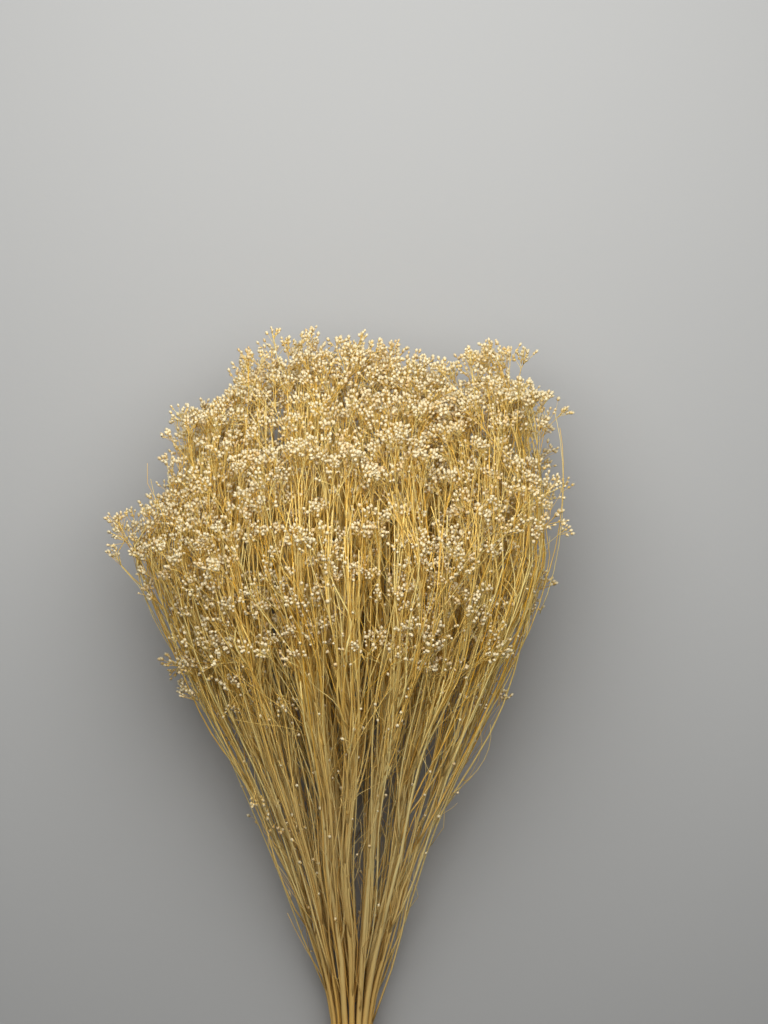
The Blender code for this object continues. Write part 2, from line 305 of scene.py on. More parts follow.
def place(u, v, t):
    """The point (u, v, t) of the bundle, in metres.

    u times half of the width and v times half of the height, from an axis that rises with the fan. Below
    the axis the cross-section is pushed down towards a flat underside. On the left it reaches further
    out, by a bell about that direction, and comes back in towards the top of the heads.
    """
    u, v, t = np.broadcast_arrays(np.asarray(u, float), np.asarray(v, float), np.asarray(t, float))
    spread, splay = fan(t), end_splay(t)
    half_height = NECK_RADIUS + (HEAD_HALF_HEIGHT - NECK_RADIUS) * spread + splay
    around = np.angle(np.exp(1j * (np.arctan2(v, u) - STRAY_ANGLE)))
    ended = np.interp(t, STRAY_END, (0.0, 1.0))
    stray = STRAY_REACH * (1.0 - ended) * np.exp(-((around / STRAY_WIDTH) ** 2))
    back = STRAY_RETURN * ended * np.exp(-((around / RETURN_WIDTH) ** 2))
    across = u * (1.0 + spread * (stray - back))
    rise = 1.0 - np.sqrt(1.0 - np.minimum(u * u, 1.0))
    lowest = (CLEAR + TIE_THICKNESS) * (1.0 - spread) - splay - PRESS * spread
    height = lowest + half_height * (1.0 + v + spread * rise * np.minimum(v, 0.0))
    return np.stack([AXIS_X + across * half_width(t), t - LENGTH / 2, height], axis=-1)


def parted(paths, u):
    """Paths moved aside from each gap, to the side of it that their stem stands on.

    By the gap's width times a squared sine along it, which falls off as exp(-distance from it / reach).
    """
    t = paths[..., 1] + LENGTH / 2
    across = paths[..., 0].copy()
    for middle, start, end, width in GAPS:
        window = np.sin(math.pi * np.clip((t - start) / (end - start), 0.0, 1.0)) ** 2
        aside = across - AXIS_X - middle * half_width(t)
        across = across + np.sign(u - middle) * width * window * np.exp(-np.abs(aside) / GAP_REACH)
    return np.stack([across, paths[..., 1], paths[..., 2]], axis=-1)


def above_floor(points):
    """Points, none of them lower than just above the floor."""
    return np.concatenate([points[:, :2], np.maximum(points[:, 2:], CLEAR)], axis=1)


def on_one_side(u, stem_u):
    """Places across the bundle, mirrored in each gap that would otherwise part them from their stem."""
    for middle, *_ in GAPS:
        crossed = ((u - middle) * (stem_u - middle) < 0) & (np.abs(u - middle) < GAP_MIRROR)
        u = np.where(crossed, 2 * middle - u, u)
    return u


def dome(u, v):
    """t of the top of the heads over (u, v): a dome with peaks and flat-topped shoulders.

    The dome rises with the root of 1 - r^3, a peak is exp(-x^2) and a shoulder exp(-x^4). Towards the
    camera an S-curve lowers it, and less so on the right.
    """
    radius = np.minimum(DOME_SHARPER * np.hypot(u, v), 1.0)
    top = DOME_RIM + (DOME_TOP - DOME_RIM) * np.sqrt(1.0 - radius**DOME_POWER)
    for middle, width, rise in CROWN_PEAKS:
        top = top + rise * np.exp(-(((u - middle) / width) ** 2))
    for middle, width, rise in SHOULDERS:
        top = top + rise * np.exp(-(((u - middle) / width) ** SHOULDER_POWER))
    front = np.clip((v - FRONT[0]) / (FRONT[1] - FRONT[0]), 0.0, 1.0)
    return top - front * front * (3.0 - 2.0 * front) * (FRONT_DROP - FRONT_TILT * u)


def cells():
    """(ring, angle) of each spray: one in the middle, and rings of 6, 12 and 18 round it."""
    yield 0, 0.0
    for ring in range(1, RINGS + 1):
        for step in range(6 * ring):
            yield ring, -math.pi / 2 + 2 * math.pi * step / (6 * ring)


def radius_of(ring):
    """How far from the bundle's axis a ring of sprays is."""
    return 2 * CELL * ring


def stagger(index, side):
    """How much lower a branch's top is than its neighbour's."""
    return (index + side) % 2 * LEVEL_STEP / 4


def way_along(u, v, t):
    """The way the stems run at (u, v, t)."""
    return unit(place(u, v, t + NUDGE) - place(u, v, t - NUDGE))


def way_out(u, v, t):
    """The way out from the bundle's axis at (u, v, t)."""
    return unit(place(1.06 * u, 1.06 * v, t) - place(0.94 * u, 0.94 * v, t) + 1e-9)


def bowed(paths, rng, size):
    """Paths with a bow and weaker waves, sin(k pi s) / k for k from 1, that leave both ends in place."""
    share = np.linspace(0.0, 1.0, paths.shape[1])[None, :, None]
    for k in range(1, WAVES + 1):
        wave = rng.normal(0.0, size / k, (len(paths), 1, 3)) * WAVE_WAYS
        paths = paths + wave * np.sin(k * math.pi * share)
    return paths


def bezier(handles, share):
    """The cubic curve through four handles, and its direction: handles (n, 4, 3), share (n, k)."""
    s = share[:, :, None]
    a, b, c, d = (handles[:, None, i] for i in range(4))
    point = a * (1 - s) ** 3 + 3 * b * s * (1 - s) ** 2 + 3 * c * s * s * (1 - s) + d * s**3
    way = (b - a) * (1 - s) ** 2 + 2 * (c - b) * s * (1 - s) + (d - c) * s * s
    return point, unit(way)


def on_path(paths, which, share):
    """Points at a share of the way along chosen paths, and the way they run there."""
    steps = paths.shape[1] - 1
    at = np.clip(share * steps, 0.0, steps - 1e-6)
    low = at.astype(int)
    near, far = paths[which, low], paths[which, low + 1]
    return near + (far - near) * (at - low)[:, None], unit(far - near)


def tapered(paths, start, end, rng):
    """Radii that narrow evenly from start to end, a little different on each strand."""
    return np.linspace(start, end, paths.shape[1])[None] * rng.uniform(*THICKNESSES, (len(paths), 1))


def stem_strand(middle, rng):
    """The main stem: a line up the middle of its cell, with bows and small kinks where it is free."""
    t = np.linspace(rng.uniform(0.0, CUT_SCATTER), STEM_END, STEM_STEPS)
    free = np.interp(t, STEM_FREE, (0.0, 1.0))[:, None]
    path = place(*middle, t)
    strayed = bowed(path[None], rng, STEM_BOW)[0] + rng.normal(0.0, STEM_KINK, path.shape)
    path = parted((path + (strayed - path) * free)[None], middle[0])
    return path, np.interp(t, *STEM_RADII)[None] * rng.uniform(*STEM_THICKNESS)


def half_cell(ring):
    """Half of the angle that a spray of a ring takes up."""
    return math.pi / (6 * ring) if ring else math.pi


def branch_strands(index, ring, angle, middle, rng):
    """Branches, some about each of the part's three, and where each forks off and where it ends.

    What is left of a branch's way across to its place falls off as exp(-rise / ease) above its fork.
    """
    side = np.repeat((-1, 0, 1), BRANCHES_A_SIDE)
    count = len(side)
    fork = FORK_FROM[0] + (FORK_FROM[1] - FORK_FROM[0]) * np.sqrt(rng.uniform(0.0, 1.0, count))
    fork = np.where(rng.uniform(size=count) < LOW_FORK_SHARE, rng.uniform(*LOW_FORK_FROM, count), fork)
    theta = angle + half_cell(ring) * BRANCH_ASIDE * side
    reach = radius_of(ring) * np.ones(count)
    if ring == 0:
        theta = angle + rng.uniform(0.0, 2 * math.pi, count)
        reach = CELL * rng.uniform(*MIDDLE_REACH, count)
    u = reach * np.cos(theta) + rng.normal(0.0, BRANCH_SCATTER[0], count)
    v = reach * np.sin(theta) + rng.normal(0.0, BRANCH_SCATTER[1], count)
    spill = np.maximum(np.hypot(u, v) / RIM, 1.0)
    u, v = u / spill, v / spill
    u = np.where(fork < FORK_BELOW_GAPS, on_one_side(u, middle[0]), u)
    top = dome(u, v) - stagger(index, side) - BRANCH_SHORT
    rise = np.linspace(0.0, 1.0, BRANCH_STEPS)[None] ** RISE_POWER
    t = fork[:, None] + (top - fork)[:, None] * rise
    ease = 1.0 - np.exp(-(t - fork[:, None]) / rng.uniform(*BRANCH_EASE, (count, 1)))
    across, up = middle[0] + (u - middle[0])[:, None] * ease, middle[1] + (v - middle[1])[:, None] * ease
    return parted(bowed(place(across, up, t), rng, BRANCH_BOW), middle[0]), fork, top


def cluster_places(index, ring, angle, rng):
    """Where the side branches end: the branch that bears each, its group, and its u, v and t.

    There is a group to each level of each side, on one branch, and it is moved aside as a whole. A level is
    LEVEL_STEP below the one over it, and all lie under the dome.
    """
    counts = np.array(GROUPS[ring])
    if math.sin(angle) < UNDERSIDE:
        counts = (counts + 1) // 2
    levels = np.repeat(np.arange(len(counts)), counts)
    level = np.tile(levels, 3)
    side = np.repeat((-1, 0, 1), len(levels))
    count = len(level)
    group = (side + 1) * len(counts) + level
    groups = 3 * len(counts)
    carrier = np.arange(groups) // len(counts) * BRANCHES_A_SIDE + rng.integers(0, BRANCHES_A_SIDE, groups)
    astray = rng.uniform(size=groups) < CARRIED_ASTRAY
    carrier = np.where(astray, rng.integers(0, 3 * BRANCHES_A_SIDE, groups), carrier)[group]
    beside = BRANCH_ASIDE * side + rng.uniform(-CLUSTERS_ASIDE, CLUSTERS_ASIDE, count)
    theta = angle + half_cell(ring) * beside
    from_stray = math.remainder(angle - STRAY_ANGLE, 2 * math.pi)
    strayed = STRAY_OUTWARDS * math.exp(-((from_stray / STRAY_WIDTH) ** 2))
    furthest = TOP_SPREAD_AT_RIM if ring == RINGS else TOP_SPREAD
    top = np.minimum(rng.uniform(-TOP_SPREAD, TOP_SPREAD, count), furthest)
    lower = rng.uniform(-LOWER_SPREAD, LOWER_SPREAD, count) + strayed - LEVEL_INWARDS * level
    reach = radius_of(ring) + CELL * np.where(level > 0, lower, top)
    if ring == 0:
        theta = rng.uniform(0.0, 2 * math.pi, count)
        reach = CELL * np.sqrt(rng.uniform(0.0, 1.0, count))
    u = reach * np.cos(theta) + rng.normal(0.0, SWAY, groups)[group]
    v = np.minimum(reach * np.sin(theta), HIGHEST_V)
    spill = np.maximum(np.hypot(u, v) / np.maximum(reach, RIM_OF_HEAD), 1.0)
    u, v = u / spill, v / spill
    drop = rng.uniform(0.0, SPRAY_DROP[ring > 1]) + rng.uniform(*LEVEL_SCATTER) * level * LEVEL_STEP
    scatter = CLUSTER_SCATTER[0] + CLUSTER_SCATTER[1] * (level > 0)
    below = stagger(index, side) + drop + rng.normal(0.0, scatter)
    return carrier, group, u, v, dome(u, v) - HEAD_DEPTH - np.maximum(below, -HIGHEST_STRAY)


def side_branch_handles(index, ring, angle, branches, fork, top, rng):
    """Side branches, each a cubic curve that ends below a cluster, and those of the low tufts.

    Each leaves its branch a run below its end, the way that the branch runs there. It ends the way that the
    stems run, leaning outwards and twisted a little. The handles lie a share of its length from its ends.
    """
    carrier, group, u, v, t = cluster_places(index, ring, angle, rng)
    groups = 3 * len(GROUPS[ring])
    tufts = np.array([spot for bearer, *spot in LOW_TUFTS if bearer == index]).reshape(-1, 3)
    kept = np.append(t > LOWEST_BUDS - LOWEST_BUDS_SLOPE * np.abs(u), np.full(len(tufts), True))
    u, v, t = np.append(u, tufts[:, 0]), np.append(v, tufts[:, 1]), np.append(t, tufts[:, 2])
    carrier = np.append(carrier, rng.integers(0, len(branches), len(tufts)))
    group = np.append(group, np.zeros(len(tufts), int))
    count = len(t)
    tip = place(u, v, t)
    run = rng.uniform(*RUN, groups)[group] + rng.normal(0.0, RUN_SCATTER, count)
    share = np.clip((t - run - fork[carrier]) / (top - fork)[carrier], *SIDES_LEAVE) ** (1 / RISE_POWER)
    root, leaves = on_path(branches, carrier, share)
    length = np.linalg.norm(tip - root, axis=1)[:, None]
    lean = rng.uniform(0.0, SIDE_LEAN, (count, 1)) * (1.0 - SIDE_LEAN_FADE * np.hypot(u, v)[:, None])
    ends = way_along(u, v, t) + lean * way_out(u, v, t) + rng.normal(0.0, SIDE_TWIST, (count, 3))
    second, third = root + SIDE_HANDLES * length * leaves, tip - SIDE_HANDLES * length * unit(ends)
    return np.stack([root, second, third, tip], axis=1)[kept]


def forked(handles, many, back, out, ahead, rng):
    """Cubic curves that fork off the ends of others: from where, how wide apart and how far past the end.

    Each leaves its carrier a distance `back` from the end, and points in the end's direction, moved aside
    by an angle about it, cos(turn) and sin(turn), with the golden angle from one to the next.
    """
    count = len(handles)
    length = np.linalg.norm(handles[:, 3] - handles[:, 0], axis=1)[:, None]
    behind = rng.uniform(*back, (count, many))
    root, way = bezier(handles, 1.0 - np.minimum(behind / length, FORK_BACK))
    turn = GOLDEN * np.arange(many) + rng.uniform(0.0, 2 * math.pi, (count, 1))
    turn = turn + rng.normal(0.0, FORK_TURN, (count, many))
    first = unit(np.cross(way, SKEW))
    aside = np.cos(turn)[:, :, None] * first + np.sin(turn)[:, :, None] * np.cross(way, first)
    spread = np.tan(np.radians(rng.uniform(*out, (count, many))))[:, :, None]
    reach = behind[:, :, None] + rng.uniform(*ahead, (count, many, 1))
    tip = root + reach * (way + spread * aside)
    ends = unit(way + FORK_CURL * spread * aside + rng.normal(0.0, FORK_TWIST, way.shape))
    second, third = root + FORK_HANDLES[0] * reach * way, tip - FORK_HANDLES[1] * reach * ends
    return np.stack([root, second, third, tip], axis=2).reshape(-1, 4, 3), ends.reshape(-1, 3)


def drawn(handles, steps):
    """The curves through the handles, as evenly stepped paths."""
    return bezier(handles, np.broadcast_to(np.linspace(0.0, 1.0, steps), (len(handles), steps)))[0]


def bare_strands(branches, rng):
    """Strands that have lost their buds, and the stubs of broken ones.

    A strand is a bowed cubic curve that leaves its branch the way that the branch runs and ends towards
    +Y. A stub is two straight lengths, and the second bends back towards the branch's way.
    """
    count = BARE_STRANDS
    root, leaves = on_path(branches, rng.integers(0, len(branches), count), rng.uniform(*BARE_FROM, count))
    length = rng.uniform(*BARE_LENGTH, count)[:, None]
    tip = root + length * unit(leaves + rng.normal(0.0, BARE_TWIST, (count, 3)))
    second, third = root + BARE_HANDLES * length * leaves, tip - BARE_HANDLES * length * (0.0, 1.0, 0.0)
    handles = np.stack([root, second, third, tip], axis=1)
    strands = bowed(drawn(handles, BARE_STEPS), rng, BARE_BOW)
    within = np.abs(tip[:, 0] - AXIS_X) < RIM * half_width(tip[:, 1] + LENGTH / 2)
    within &= tip[:, 2] < BARE_HIGHEST * HEAD_HALF_HEIGHT
    count = STUBS
    root, leaves = on_path(branches, rng.integers(0, len(branches), count), rng.uniform(*STUB_FROM, count))
    broken = unit(leaves + rng.normal(0.0, STUB_TWIST, (count, 3)))
    length = rng.uniform(*STUB_LENGTH, count)[:, None]
    bend, end = root + 0.5 * length * broken, root + length * unit(broken + leaves)
    return strands[within], np.stack([root, bend, end], axis=1)


def loose_strands(index):
    """The strands that hang outside the bundle's outline: cubic curves with the handles named above."""
    v = np.array([v for bearer, v, _ in LOOSE_STRANDS if bearer == index])
    spots = np.array([spots for bearer, _, spots in LOOSE_STRANDS if bearer == index]).reshape(-1, 4, 2)
    middles = place(0.0, v[:, None], spots[:, :, 1])
    handles = np.stack([AXIS_X + spots[:, :, 0], middles[..., 1], middles[..., 2]], axis=-1)
    return drawn(handles, LOOSE_STEPS)


def lone_twigs(branches, rng):
    """Short twigs along the branches, each with a bud of its own: two lengths that turn away."""
    which = rng.integers(0, len(branches), LONE_BUDS)
    root, leaves = on_path(branches, which, rng.uniform(*LONE_FROM, LONE_BUDS))
    length = rng.uniform(*LONE_LENGTH, LONE_BUDS)[:, None]
    ends = unit(leaves + rng.normal(0.0, LONE_TWIST, (LONE_BUDS, 3)))
    middle = root + 0.5 * length * unit(leaves + 0.5 * ends)
    return np.stack([root, middle, middle + 0.5 * length * ends], axis=1), ends


def grow(index, ring, angle):
    """Every strand and bud of a spray: (paths, radii, sides) by kind, and each bud's foot, way and tone."""
    rng = np.random.default_rng(500 + index)
    middle = radius_of(ring) * math.cos(angle), radius_of(ring) * math.sin(angle)
    stem, stem_radii = stem_strand(middle, rng)
    branches, fork, top = branch_strands(index, ring, angle, middle, rng)
    sides = side_branch_handles(index, ring, angle, branches, fork, top, rng)
    arms, _ = forked(sides, *ARMS, rng)
    twigs, ways = forked(arms, *TWIGS, rng)
    spurs, spur_ways = forked(twigs, *SPURS, rng)
    bare, stubs = bare_strands(branches, rng)
    lone, lone_ways = lone_twigs(branches, rng)
    kinds = (
        (branches, BRANCH_TAPER),
        (drawn(sides, SIDE_STEPS), SIDE_TAPER),
        (drawn(arms, ARM_STEPS), ARM_TAPER),
        (drawn(twigs, TWIG_STEPS), TWIG_TAPER),
        (bare, BARE_TAPER),
        (stubs, STUB_TAPER),
        (lone, LONE_TAPER),
        (loose_strands(index), LOOSE_TAPER),
    )
    strands = [(stem, stem_radii, STEM_SIDES)]
    strands += [(paths, tapered(paths, foot, tip, rng), around) for paths, (foot, tip, around) in kinds]
    kept = rng.uniform(size=len(spurs)) < SPUR_SHARE
    feet = np.concatenate([twigs[:, 3], spurs[kept, 0], lone[:, -1]])
    tone = np.repeat(rng.normal(MIDDLE_TONE, ARM_TONES, len(arms)), TWIGS[0])
    tones = np.concatenate([tone, tone[kept], rng.normal(MIDDLE_TONE, LONE_TONES, len(lone))])
    tones = np.clip(tones + rng.normal(0.0, BUD_TONES, len(feet)), 0.0, 1.0)
    return strands, feet, np.concatenate([ways, spur_ways[kept], lone_ways]), tones


def rings_along(paths):
    """Two directions square to each path at each of its points."""
    along = unit(np.gradient(paths, axis=1))
    steep = np.abs(along[:, :1, 2:]) > 0.9
    first = unit(np.cross(along, np.where(steep, (1.0, 0.0, 0.0), (0.0, 0.0, 1.0))))
    return first, np.cross(along, first)


def tube_shell(paths, radii, sides, tones, offset):
    """Tubes: a circle carried square along each path, scaled by the radius there, with both ends closed.

    Their map counts millimetres: round the tube, and along it from a start of its own.
    """
    count, steps, _ = paths.shape
    first, second = rings_along(paths)
    turn = 2 * math.pi * np.arange(sides) / sides
    circle = np.cos(turn)[:, None] * first[:, :, None] + np.sin(turn)[:, None] * second[:, :, None]
    points = (paths[:, :, None] + radii[:, :, None, None] * circle).reshape(-1, 3)
    index = offset + np.arange(count * steps * sides).reshape(count, steps, sides)
    after = np.roll(index, -1, axis=2)
    quads = np.stack([index[:, :-1], after[:, :-1], after[:, 1:], index[:, 1:]], axis=-1)
    travelled = np.linalg.norm(np.diff(paths, axis=1), axis=2).cumsum(axis=1)
    along = np.concatenate([np.zeros((count, 1)), travelled], axis=1) + MAP_STARTS[1] * tones[:, None]
    around = 2 * math.pi * radii.mean(axis=1)[:, None] * np.arange(sides + 1) / sides
    around = around + MAP_STARTS[0] * tones[:, None]
    corner = np.stack(np.broadcast_arrays(around[:, None, :], along[:, :, None]), axis=-1) * 1000
    maps = np.stack([corner[:, :-1, :-1], corner[:, :-1, 1:], corner[:, 1:, 1:], corner[:, 1:, :-1]], axis=3)
    faces = [quads.reshape(-1, 4), index[:, 0, ::-1], index[:, -1]]
    caps = [corner[:, 0, :-1][:, ::-1], corner[:, -1, :-1]]
    maps = [piece.reshape(-1, 2) for piece in (maps, *caps)]
    return points, faces, maps, np.repeat(tones, steps * sides)


def bud_shell(feet, ways, lengths, widths, tones):
    """Buds: an oval profile turned round each bud's axis, closed at its foot and at its tip."""
    count = len(feet)
    first = unit(np.cross(ways, SKEW))
    second = np.cross(ways, first)
    turn = 2 * math.pi * np.arange(BUD_SIDES) / BUD_SIDES
    turn = turn + math.pi / BUD_SIDES * np.arange(len(BUD_PROFILE))[:, None]
    turn = turn[:, :, None]
    circle = np.cos(turn) * first[:, None, None] + np.sin(turn) * second[:, None, None]
    heights = np.array([h for h, _ in BUD_PROFILE])
    swell = np.array([w for _, w in BUD_PROFILE])
    centre = feet[:, None] + (lengths[:, None] * heights)[:, :, None] * ways[:, None]
    rings = centre[:, :, None] + (widths[:, None] / 2 * swell)[:, :, None, None] * circle
    tips = feet + lengths[:, None] * ways
    points = np.concatenate([rings.reshape(count, -1, 3), feet[:, None], tips[:, None]], axis=1)
    each = points.shape[1]
    ring = np.arange(each - 2).reshape(1, len(heights), BUD_SIDES)
    index = each * np.arange(count)[:, None, None] + ring
    after = np.roll(index, -1, axis=2)
    quads = np.stack([index[:, :-1], after[:, :-1], after[:, 1:], index[:, 1:]], axis=-1).reshape(-1, 4)
    foot = np.broadcast_to(each * np.arange(count)[:, None] + each - 2, index[:, 0].shape)
    bottom = np.stack([index[:, 0], foot, after[:, 0]], axis=-1).reshape(-1, 3)
    top = np.stack([index[:, -1], after[:, -1], foot + 1], axis=-1).reshape(-1, 3)
    height = np.concatenate([np.repeat(heights, BUD_SIDES), [0.0, 1.0]])
    return points.reshape(-1, 3), [quads, bottom, top], np.tile(height, count), np.repeat(tones, each)


def make_piece(name, points, faces, material, attributes, maps=None):
    """A smooth mesh object from whole arrays, riding on the bundle."""
    mesh = bpy.data.meshes.new(name)
    mesh.vertices.add(len(points))
    mesh.vertices.foreach_set("co", points.astype(np.float32).ravel())
    corners = np.concatenate([group.ravel() for group in faces]).astype(np.int32)
    sizes = np.concatenate([np.full(len(group), group.shape[1]) for group in faces])
    mesh.loops.add(len(corners))
    mesh.loops.foreach_set("vertex_index", corners)
    mesh.polygons.add(len(sizes))
    mesh.polygons.foreach_set("loop_start", np.concatenate([[0], np.cumsum(sizes)[:-1]]).astype(np.int32))
    for title, values in attributes.items():
        layer = mesh.attributes.new(title, "FLOAT", "POINT")
        layer.data.foreach_set("value", values.astype(np.float32))
    if maps is not None:
        layer = mesh.uv_layers.new(name="strand_mm")
        layer.uv.foreach_set("vector", maps.astype(np.float32).ravel())
    mesh.update(calc_edges=True)
    mesh.validate()
    mesh.shade_smooth()
    mesh.materials.append(material)
    piece = bpy.data.objects.new(name, mesh)
    bpy.context.scene.collection.objects.link(piece)
    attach(piece, "root")
    return piece


def node(tree, kind, inputs=None, **settings):
    """Adds a node with its settings, and fills or links its inputs."""
    made = tree.nodes.new(kind)
    for key, value in settings.items():
        setattr(made, key, value)
    for key, value in (inputs or {}).items():
        if isinstance(value, bpy.types.NodeSocket):
            tree.links.new(value, made.inputs[key])
        else:
            made.inputs[key].default_value = value
    return made


def new_material(name):
    """A material with its node tree and its shader."""
    made = bpy.data.materials.new(name)
    made.use_nodes = True
    tree = made.node_tree
    return made, tree, tree.nodes["Principled BSDF"]


def colour(values):
    """A colour as the four numbers that a socket takes."""
    return (*values, 1.0)


def dried_straw_stem(colours):
    """Dried plant stem, bleached: matt, with fine grooves along it, each strand its own shade of straw.

    Each strand's tone picks between golden and pale. Grooves a third of a millimetre wide and 10 mm long
    darken and roughen it, and stains 3 mm wide and 20 mm long brown it. The stems are greyer below the
    heads, and painted shade browns them towards the cut ends.
    """
    made, tree, shader = new_material("dried_straw_stem")
    golden, pale = colour(colours.straw_golden), colour(colours.straw_pale)
    brown, grey = colour(colours.straw_brown), colour(colours.straw_grey)
    tone = node(tree, "ShaderNodeAttribute", attribute_name="tone").outputs["Fac"]
    strand = node(tree, "ShaderNodeUVMap", uv_map="strand_mm").outputs["UV"]
    grain = node(tree, "ShaderNodeMapping", {"Vector": strand, "Scale": (3.0, 0.10, 1.0)})
    grooves = node(tree, "ShaderNodeTexNoise", {"Vector": grain.outputs[0], "Scale": 1.0, "Detail": 3.0})
    depth = grooves.outputs["Fac"]
    blotch = node(tree, "ShaderNodeMapping", {"Vector": strand, "Scale": (0.3, 0.05, 1.0)})
    stains = node(tree, "ShaderNodeTexNoise", {"Vector": blotch.outputs[0], "Scale": 1.0, "Detail": 2.0})
    where = node(tree, "ShaderNodeTexCoord").outputs["Object"]
    north = node(tree, "ShaderNodeSeparateXYZ", {0: where}).outputs["Y"]
    dark = node(tree, "ShaderNodeMapRange", {0: depth, 1: 0.52, 2: 0.75, 3: 0.0, 4: 0.55})
    stain = node(tree, "ShaderNodeMapRange", {0: stains.outputs["Fac"], 1: 0.55, 2: 0.80, 3: 0.0, 4: 0.45})
    fade_from, fade_to = GREY_FADES
    bare = node(tree, "ShaderNodeMapRange", {0: north, 1: fade_from, 2: fade_to, 3: 0.30, 4: 0.0})
    # painted shade: below the heads the stems are mixed towards brown, most at the cut ends
    fade_from, fade_to = PAINTED_SHADE_FADES
    low = node(tree, "ShaderNodeMapRange", {0: north, 1: fade_from, 2: fade_to, 3: 0.60, 4: 0.0})
    shade = golden
    for share, other in ((tone, pale), (dark.outputs[0], brown), (stain.outputs[0], brown),
                         (bare.outputs[0], grey), (low.outputs[0], brown)):
        shade = node(tree, "ShaderNodeMix", {0: share, 6: shade, 7: other}, data_type="RGBA").outputs[2]
    tree.links.new(shade, shader.inputs["Base Color"])
    rough = node(tree, "ShaderNodeMapRange", {0: depth, 1: 0.3, 2: 0.7, 3: 0.50, 4: 0.75})
    tree.links.new(rough.outputs[0], shader.inputs["Roughness"])
    bump = node(tree, "ShaderNodeBump", {"Strength": 0.5, "Distance": 0.0001, "Height": depth})
    tree.links.new(bump.outputs[0], shader.inputs["Normal"])
    shader.inputs["IOR"].default_value = 1.45
    return made


def dried_bud_husk(colours):
    """Dried bud husk, bleached: papery scales, golden at the foot and cream at the tip.

    Buds with a low tone have browned. The scales are bumps about 0.6 mm across, which break up the light.
    """
    made, tree, shader = new_material("dried_bud_husk")
    tone = node(tree, "ShaderNodeAttribute", attribute_name="tone").outputs["Fac"]
    height = node(tree, "ShaderNodeAttribute", attribute_name="height").outputs["Fac"]
    rise = node(tree, "ShaderNodeMapRange", {0: height, 1: 0.02, 2: 0.55})
    old = node(tree, "ShaderNodeMapRange", {0: tone, 1: 0.0, 2: 0.35, 3: 0.55, 4: 0.0})
    shade = colour(colours.bud_foot)
    tip, browned = colour(colours.bud_tip), colour(colours.bud_old)
    for share, other in ((rise.outputs[0], tip), (old.outputs[0], browned)):
        shade = node(tree, "ShaderNodeMix", {0: share, 6: shade, 7: other}, data_type="RGBA").outputs[2]
    tree.links.new(shade, shader.inputs["Base Color"])
    where = node(tree, "ShaderNodeTexCoord").outputs["Object"]
    scales = node(tree, "ShaderNodeTexVoronoi", {"Vector": where, "Scale": 1800.0}).outputs["Distance"]
    bump = node(tree, "ShaderNodeBump", {"Strength": 0.4, "Distance": 0.0001, "Height": scales})
    tree.links.new(bump.outputs[0], shader.inputs["Normal"])
    shader.inputs["Roughness"].default_value = 0.80
    shader.inputs["IOR"].default_value = 1.45
    return made


def natural_rubber(colours):
    """Natural rubber band, calendered and cut: a dull skin, dusted in patches about a millimetre across."""
    made, tree, shader = new_material("natural_rubber")
    where = node(tree, "ShaderNodeTexCoord").outputs["Object"]
    dust = node(tree, "ShaderNodeTexNoise", {"Vector": where, "Scale": 900.0, "Detail": 4.0}).outputs["Fac"]
    fade = node(tree, "ShaderNodeMapRange", {0: dust, 1: 0.35, 2: 0.75, 3: 0.0, 4: 0.5})
    shade = node(tree, "ShaderNodeMix", {0: fade.outputs[0], 6: colour(colours.rubber),
                                         7: colour(colours.rubber_dust)}, data_type="RGBA")
    tree.links.new(shade.outputs[2], shader.inputs["Base Color"])
    rough = node(tree, "ShaderNodeMapRange", {0: dust, 1: 0.3, 2: 0.7, 3: 0.38, 4: 0.62})
    tree.links.new(rough.outputs[0], shader.inputs["Roughness"])
    bump = node(tree, "ShaderNodeBump", {"Strength": 0.25, "Distance": 0.0001, "Height": dust})
    tree.links.new(bump.outputs[0], shader.inputs["Normal"])
    shader.inputs["IOR"].default_value = 1.52
    return made


def matt_paint(colours):
    """Matt paint, rolled on to a board: no gloss, and a faint skin with dimples about 7 mm across."""
    made, tree, shader = new_material("matt_paint")
    where = node(tree, "ShaderNodeTexCoord").outputs["Object"]
    skin = node(tree, "ShaderNodeTexNoise", {"Vector": where, "Scale": 140.0, "Detail": 3.0}).outputs["Fac"]
    bump = node(tree, "ShaderNodeBump", {"Strength": 0.15, "Distance": 0.0006, "Height": skin})
    tree.links.new(bump.outputs[0], shader.inputs["Normal"])
    shader.inputs["Base Color"].default_value = colour(colours.floor)
    shader.inputs["Roughness"].default_value = 0.85
    return made


class BroomBloomSizes(bpy.types.PropertyGroup):
    """Sizes of the buds"""

    bud_length: bpy.props.FloatProperty(
        name="Bud length", description="From the foot of a bud to its tip", default=0.0026, unit="LENGTH"
    )
    bud_width: bpy.props.FloatProperty(
        name="Bud width", description="Across the widest part of a bud", default=0.0018, unit="LENGTH"
    )


def colour_choice(name, description, code):
    """A colour property that starts at an sRGB hex colour."""
    return bpy.props.FloatVectorProperty(
        name=name, description=description, default=linear(code), subtype="COLOR", size=3, min=0.0, max=1.0
    )


class BroomBloomColours(bpy.types.PropertyGroup):
    """Colours of the dried plant, its tie and the floor"""

    straw_pale: colour_choice("Pale straw", "The palest stems", "#F1DC8E")
    straw_golden: colour_choice("Golden straw", "The deepest coloured stems", "#E9B538")
    straw_brown: colour_choice("Brown straw", "Grooves and stains of the stems", "#BE8820")
    straw_grey: colour_choice("Grey straw", "The lower stems, greyed by light and dust", "#D5C297")
    bud_tip: colour_choice("Bud tip", "The bleached upper part of the buds", "#DDCEA6")
    bud_foot: colour_choice("Bud foot", "The foot of the buds", "#E3BA54")
    bud_old: colour_choice("Old bud", "Buds that have browned", "#CC9F50")
    rubber: colour_choice("Rubber", "The tie's natural rubber", "#C59A5A")
    rubber_dust: colour_choice("Rubber dust", "Dust on the tie", "#D9BC8A")
    floor: colour_choice("Floor", "The painted floor", "#A3A3A1")


